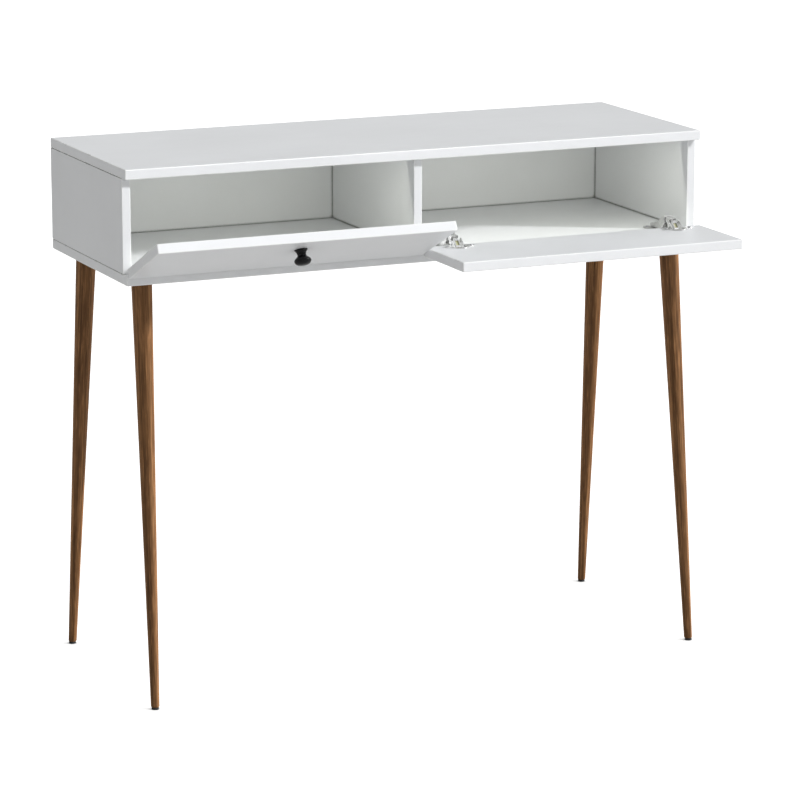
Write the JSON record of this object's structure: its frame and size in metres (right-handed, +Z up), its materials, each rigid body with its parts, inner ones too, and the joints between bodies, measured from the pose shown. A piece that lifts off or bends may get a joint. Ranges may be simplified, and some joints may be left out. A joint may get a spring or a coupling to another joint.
{
  "type": "secretary desk",
  "caption": "Narrow white secretary desk with open bays behind drop-down flaps on concealed hinges, a black mushroom knob and splayed, tapered walnut legs.",
  "frame": {"origin": "on the floor, under the centre of the bounding box of the desk as stored, its level right flap included", "axes": "+Z up, +Y towards the back of the desk, +X towards its right end as seen from the front"},
  "size_m": [1.12, 0.5886, 0.96],
  "materials": {
    "white_board": "white melamine-faced board, satin",
    "walnut": "satin oiled walnut with grain along the leg",
    "black_gloss": "high gloss black",
    "black_pad": "matte black glide",
    "nickel": "bright nickel plate on pressed steel",
    "screw_steel": "zinc-plated steel",
    "yellow_nylon": "yellowish moulded nylon"
  },
  "bodies": {
    "cabinet": {"top_panel": "white_board", "bottom_panel": "white_board", "side_panel_left": "white_board", "side_panel_right": "white_board", "divider_panel": "white_board", "back_panel": "white_board", "leg_front_left": "walnut", "leg_bolt_front_left": "screw_steel", "foot_pad_front_left": "black_pad", "leg_rear_left": "walnut", "leg_bolt_rear_left": "screw_steel", "foot_pad_rear_left": "black_pad", "leg_front_right": "walnut", "leg_bolt_front_right": "screw_steel", "foot_pad_front_right": "black_pad", "leg_rear_right": "walnut", "leg_bolt_rear_right": "screw_steel", "foot_pad_rear_right": "black_pad", "hinge_L1_arm": "nickel", "hinge_L1_plate": "nickel", "hinge_L1_plate_screw_a": "screw_steel", "hinge_L1_plate_screw_b": "screw_steel", "hinge_L2_arm": "nickel", "hinge_L2_plate": "nickel", "hinge_L2_plate_screw_a": "screw_steel", "hinge_L2_plate_screw_b": "screw_steel", "hinge_R1_arm": "nickel", "hinge_R1_plate": "nickel", "hinge_R1_plate_screw_a": "screw_steel", "hinge_R1_plate_screw_b": "screw_steel", "hinge_R2_arm": "nickel", "hinge_R2_plate": "nickel", "hinge_R2_plate_screw_a": "screw_steel", "hinge_R2_plate_screw_b": "screw_steel"},
    "flap_left_body": {"flap_left": "white_board", "hinge_L1_cup": "nickel", "hinge_L1_knuckle": "yellow_nylon", "hinge_L1_cup_screw_a": "screw_steel", "hinge_L1_cup_screw_b": "screw_steel", "hinge_L2_cup": "nickel", "hinge_L2_knuckle": "yellow_nylon", "hinge_L2_cup_screw_a": "screw_steel", "hinge_L2_cup_screw_b": "screw_steel", "knob_left": "black_gloss", "knob_screw_left": "screw_steel"},
    "flap_right_body": {"flap_right": "white_board", "hinge_R1_cup": "nickel", "hinge_R1_knuckle": "yellow_nylon", "hinge_R1_cup_screw_a": "screw_steel", "hinge_R1_cup_screw_b": "screw_steel", "hinge_R2_cup": "nickel", "hinge_R2_knuckle": "yellow_nylon", "hinge_R2_cup_screw_a": "screw_steel", "hinge_R2_cup_screw_b": "screw_steel"},
    "links_left": {"hinge_L1_link": "nickel", "hinge_L2_link": "nickel"},
    "links_right": {"hinge_R1_link": "nickel", "hinge_R2_link": "nickel"}
  },
  "joints": [
    {"name": "left_flap_hinge", "type": "hinge", "parent": "cabinet", "child": "flap_left_body", "pos_m": [0, -0.12277, 0.769], "axis": [1, 0, 0], "range_deg": [-65, 25]},
    {"name": "right_flap_hinge", "type": "hinge", "parent": "cabinet", "child": "flap_right_body", "pos_m": [0, -0.12277, 0.769], "axis": [1, 0, 0], "range_deg": [-90, 0]},
    {"name": "left_link_turn", "type": "hinge", "parent": "cabinet", "child": "links_left", "pos_m": [0, -0.12277, 0.769], "axis": [1, 0, 0], "range_deg": [-32.5, 12.5]},
    {"name": "right_link_turn", "type": "hinge", "parent": "cabinet", "child": "links_right", "pos_m": [0, -0.12277, 0.769], "axis": [1, 0, 0], "range_deg": [-45, 0]}
  ],
  "couplings": [
    {"joint": "left_link_turn", "follows": "left_flap_hinge", "ratio": 0.5},
    {"joint": "right_link_turn", "follows": "right_flap_hinge", "ratio": 0.5}
  ]
}
